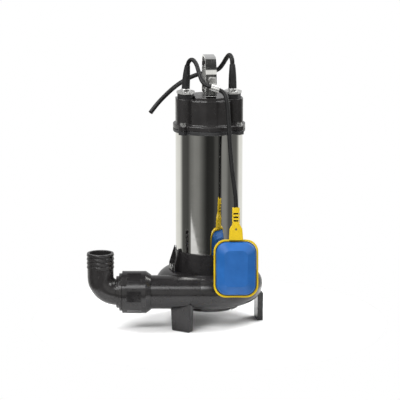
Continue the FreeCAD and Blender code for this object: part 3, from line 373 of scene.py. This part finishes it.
def cable_rubber():
    """Dull rubber sheath."""
    finish = Finish("sheath_rubber", shine=0.22)
    finish.colour(finish.noise(9, 5), (0.003, 0.003, 0.0031), (0.007, 0.007, 0.0072))
    finish.roughness(finish.noise(3, 4), 0.42, 0.6)
    finish.bump(finish.noise(1.5, 2), 0.01)
    return finish.finished()


def seal_rubber():
    """Duller, slightly paler rubber for seals and strain reliefs."""
    finish = Finish("seal_rubber", shine=0.25)
    finish.colour(finish.noise(6, 5), (0.007, 0.007, 0.0074), (0.013, 0.013, 0.0135))
    finish.roughness(finish.noise(2, 4), 0.55, 0.75)
    finish.bevel(0.7)
    finish.bump(finish.noise(1.5, 2), 0.01)
    return finish.finished()


def float_plastic(name, dark, light):
    """Satin blown plastic, a little uneven, with scuffs in its shine."""
    finish = Finish(name, shine=0.25)
    finish.colour(finish.noise(26, 4), dark, light)
    finish.roughness(finish.noise(3, 6), 0.42, 0.55)
    finish.bevel(1.2)
    finish.bump(finish.noise(16, 2), 0.3)
    finish.bump(finish.noise(1.5, 2), 0.006)
    return finish.finished()


def plain_metal(name, dark, light, low, high):
    """Inner metal such as cores, windings and balls."""
    finish = Finish(name, 1.0)
    finish.colour(finish.noise(4, 5, (4, 4, 0.4)), dark, light)
    finish.roughness(finish.noise(2, 4), low, high)
    finish.bump(finish.noise(1.2, 3, (6, 6, 0.5)), 0.1)
    return finish.finished()


def make_finishes():
    """One finish for each material slot of the record."""
    finishes = {
        "polished_steel": mirror_steel(),
        "strap_steel": sheet_steel("strap_steel", 0.07, 0.14, (1, 14, 14)),
        "screw_steel": sheet_steel("screw_steel", 0.12, 0.24, (6, 6, 1)),
        "black_rubber": seal_rubber(),
        "cable_rubber": cable_rubber(),
        "yellow_plastic": float_plastic("yellow_plastic", (0.5, 0.34, 0.003), (0.56, 0.385, 0.006)),
        "blue_plastic": float_plastic("blue_plastic", (0.006, 0.07, 0.24), (0.011, 0.09, 0.3)),
    }
    # two shades, then the lowest and the highest roughness
    for name, dark, light, low, high in (
            ("black_plastic", (0.009, 0.0083, 0.0088), (0.014, 0.013, 0.0136), 0.2, 0.26),
            ("impeller_plastic", (0.05, 0.05, 0.055), (0.09, 0.09, 0.1), 0.4, 0.55),
            ("painted_casting", (0.014, 0.014, 0.015), (0.03, 0.03, 0.031), 0.32, 0.5),
            ("grey_plastic", (0.2, 0.2, 0.21), (0.28, 0.28, 0.3), 0.4, 0.5)):
        finishes[name] = moulded_plastic(name, dark, light, low, high)
    for name, dark, light, low, high in (
            ("hard_steel", (0.3, 0.3, 0.31), (0.5, 0.5, 0.51), 0.3, 0.45),
            ("core_steel", (0.1, 0.1, 0.11), (0.2, 0.2, 0.21), 0.45, 0.6),
            ("winding_copper", (0.4, 0.14, 0.05), (0.7, 0.3, 0.13), 0.3, 0.45),
            ("ball_steel", (0.5, 0.5, 0.51), (0.7, 0.7, 0.7), 0.08, 0.15)):
        finishes[name] = plain_metal(name, dark, light, low, high)
    return finishes


# ---------------------------------------------------------------- mesh helpers

def add_piece(name, mesh, body, slot, *nodes):
    """Put a mesh in the scene, riding on a body, in place of some CAD nodes."""
    piece = bpy.data.objects.new(name, mesh)
    bpy.context.scene.collection.objects.link(piece)
    mesh.materials.append(FINISHES[slot])
    if body:
        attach(piece, body)
    if nodes:
        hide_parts(*nodes)
    return piece


def smooth(mesh):
    mesh.polygons.foreach_set("use_smooth", [True] * len(mesh.polygons))
    return mesh


def lathe(name, outline, sides=160):
    """Turn a closed outline of (radius, height) points, in millimetres, about the motor axis."""
    spots = []
    faces = []
    count = len(outline)
    for step in range(sides):
        turn = step * math.tau / sides
        for radius, height in outline:
            spots.append(at(radius * math.cos(turn), radius * math.sin(turn), height))
        for index in range(count):
            here = step * count + index
            above = step * count + (index + 1) % count
            following = ((step + 1) % sides) * count
            faces.append((here, following + index, following + (index + 1) % count, above))
    mesh = bpy.data.meshes.new(name)
    mesh.from_pydata(spots, [], faces)
    return smooth(mesh)


def sweep(name, line, radius_at, sides=28):
    """A round skin along a line of points. Its radius depends on the distance along the line."""
    spots = []
    faces = []
    side = None
    travelled = 0
    for index, spot in enumerate(line):
        ahead = (line[min(index + 1, len(line) - 1)] - line[max(index - 1, 0)]).normalized()
        if side is None:
            side = ahead.orthogonal().normalized()
        side = (side - ahead * side.dot(ahead)).normalized()
        across = ahead.cross(side)
        if index:
            travelled += (spot - line[index - 1]).length
        radius = radius_at(travelled)
        for step in range(sides):
            turn = step * math.tau / sides
            spots.append(spot + (side * math.cos(turn) + across * math.sin(turn)) * radius)
    for ring in range(len(line) - 1):
        for step in range(sides):
            one = ring * sides + step
            two = ring * sides + (step + 1) % sides
            faces.append((one, two, two + sides, one + sides))
    faces.append(tuple(reversed(range(sides))))
    faces.append(tuple(range((len(line) - 1) * sides, len(line) * sides)))
    mesh = bpy.data.meshes.new(name)
    mesh.from_pydata(spots, [], faces)
    smooth(mesh)
    mesh.polygons[-1].use_smooth = False
    mesh.polygons[-2].use_smooth = False
    return mesh


# ---------------------------------------------------------------- cables

POWER_ROUTE = [(41.7, 3.3, 424.5), (41.6, 3.4, 446), (41.4, 3.8, 465), (40.8, 4.8, 478),
               (36.4, 14, 484.2), (31.2, 23.4, 477), (24.5, 33.5, 463.5), (16.5, 43.5, 452.5),
               (-1, 60, 446.5), (-18, 63, 443), (-35, 55, 437.5), (-51, 41, 430), (-65, 29, 421),
               (-79, 18.5, 409), (-93, 10, 395.5), (-104.8, 3.6, 380.3)]
FLOAT_ROUTE = [(-41.7, -3.3, 424.5), (-40.6, -4, 446), (-38, -6, 472), (-30.5, -12.6, 479),
               (-22.9, -19.1, 472), (-18.3, -31, 457), (-12.4, -47.4, 441.5), (-2.6, -53.8, 435.3),
               (23.4, -55.4, 427.5), (29.5, -60.5, 418.5)]
# The float hangs from this point, leaning outwards, and its cable's points are given along the lean.
HANG = (32.7, -66, 393)
HANG_LEAN = math.radians(10)
HANGING = [(-2.6, 18), (-0.4, 6.8), (1.8, -28), (3.2, -60), (6.2, -94), (10.2, -126), (13.2, -147),
           (14, -164), (14.06, -181), (14, -198)]
POWER_RADIUS = 4 * MM
FLOAT_RADIUS = 3.75 * MM
BOOT_LENGTH = 44 * MM
BOOT_FOOT = 7.3 * MM
BOOT_LIP = 0.9 * MM

# Each core of the power cable stands this far from the cable's middle.
CORE_CIRCLE = 1.75 * MM


def hanging_point(x, along):
    """A point in the plane in which the float hangs, from its hinge point."""
    return at(HANG[0] + x, HANG[1] + along * math.sin(HANG_LEAN), HANG[2] + along * math.cos(HANG_LEAN))


def cable_line(name, route):
    """The smooth line that a cable follows, read from a spline with the route as its control points."""
    data = bpy.data.curves.new(name, "CURVE")
    data.dimensions = "3D"
    data.resolution_u = 12
    spline = data.splines.new("NURBS")
    spline.points.add(len(route) - 1)
    for control, spot in zip(spline.points, route):
        control.co = (*spot, 1)
    spline.order_u = 3
    spline.use_endpoint_u = True
    curve = bpy.data.objects.new(name, data)
    mesh = bpy.data.meshes.new_from_object(curve)
    line = [vertex.co.copy() for vertex in mesh.vertices]
    bpy.data.objects.remove(curve)
    bpy.data.meshes.remove(mesh)
    return line


def line_length(line):
    return sum((two - one).length for one, two in zip(line, line[1:]))


def make_boot(name, line, cable_radius):
    """Tapered rubber strain relief along the cable's first stretch, fullest at its foot."""
    stretch = [spot for index, spot in enumerate(line) if line_length(line[:index + 1]) < BOOT_LENGTH]
    fine = [one.lerp(two, share / 4) for one, two in zip(stretch, stretch[1:]) for share in range(4)]
    whole = line_length(fine)

    def radius_at(travelled):
        share = travelled / whole
        return BOOT_FOOT - (BOOT_FOOT - cable_radius - BOOT_LIP) * share ** 2.2

    return add_piece(f"{name}_boot", sweep(f"{name}_boot", fine, radius_at), "root", "black_rubber",
                     f"{name}_cable_boot")


def make_power_cable():
    """Shown from its gland to its cut end, where the three cores lie in the sheath."""
    line = cable_line("power_line", [at(*spot) for spot in POWER_ROUTE])
    make_boot("power", line, POWER_RADIUS)
    cable = add_piece("power_lead", sweep("power_lead", line, lambda travelled: POWER_RADIUS), "root",
                      "cable_rubber", "power_cable")
    end = line[-1]
    along = (end - line[-2]).normalized()
    side = along.orthogonal().normalized()
    for index in range(3):
        middle = Matrix.Rotation(index * math.tau / 3, 3, along) @ side * CORE_CIRCLE
        layers = [("insulation", 1.25, 0.3, "cable_rubber"), ("wire", 0.55, 0.5, "winding_copper")]
        for layer, radius, proud, slot in layers:
            run = [end + middle - along * MM, end + middle + along * proud * MM]
            skin = sweep(layer, run, lambda travelled, radius=radius: radius * MM, 16)
            add_piece(f"power_{layer}_{index}", skin, "root", slot)


def make_float_cable():
    """Loops out of its gland, through the clamp on the handle, and down into the float's neck."""
    route = [at(*spot) for spot in FLOAT_ROUTE] + [hanging_point(*spot) for spot in HANGING]
    line = cable_line("float_line", route)
    make_boot("float", line, FLOAT_RADIUS)
    cable = add_piece("float_lead", sweep("float_lead", line, lambda travelled: FLOAT_RADIUS), None,
                      "cable_rubber", "float_cable_upper", "float_cable_lower")
    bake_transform(cable)


# ---------------------------------------------------------------- motor tube

def make_tube():
    """Polished tube with its lower and upper edges rolled in a little."""
    radius = (TUBE_HIGH.x - TUBE_LOW.x) / 2 / MM
    low = TUBE_LOW.z / MM
    high = TUBE_HIGH.z / MM
    # the rings 1.4 and 2 mm from each end keep the long wall's shading upright
    lower = [(radius - 1.5, low), (radius - 0.5, low), (radius - 0.1, low + 0.3), (radius, low + 0.8),
             (radius, low + 1.4), (radius, low + 2)]
    upper = [(edge, high + low - height) for edge, height in reversed(lower)]
    outline = lower + upper
    add_piece("tube", lathe("tube", outline, 256), "root", "polished_steel", "motor_tube")


# ---------------------------------------------------------------- putting it together

def finish_nodes():
    """Give every CAD node that still shows its finish: that of its slot, or one of its own."""
    pressed = satin_steel()
    # the cap and the elbow get the paler plastic, whose paleness is painted sheen
    paled_for_sheen = sheen_paled_plastic()
    own = {"cable_clamp": pressed, "float_gland_plate": pressed, "power_gland_plate": pressed,
           "top_cap": paled_for_sheen, "outlet_elbow": paled_for_sheen}
    for row in frame["record"]["subparts"]:
        node = frame["nodes"][row["node"]]
        for place in node.material_slots:
            place.material = own.get(row["node"], FINISHES[row["material_slot"]])


FINISHES = make_finishes()
bpy.context.scene.view_settings.view_transform = "Standard"
make_camera()
make_power_cable()
make_float_cable()
finish_nodes()
make_tube()
make_world()
make_floor()
for softbox in SOFTBOXES:
    make_softbox(*softbox)
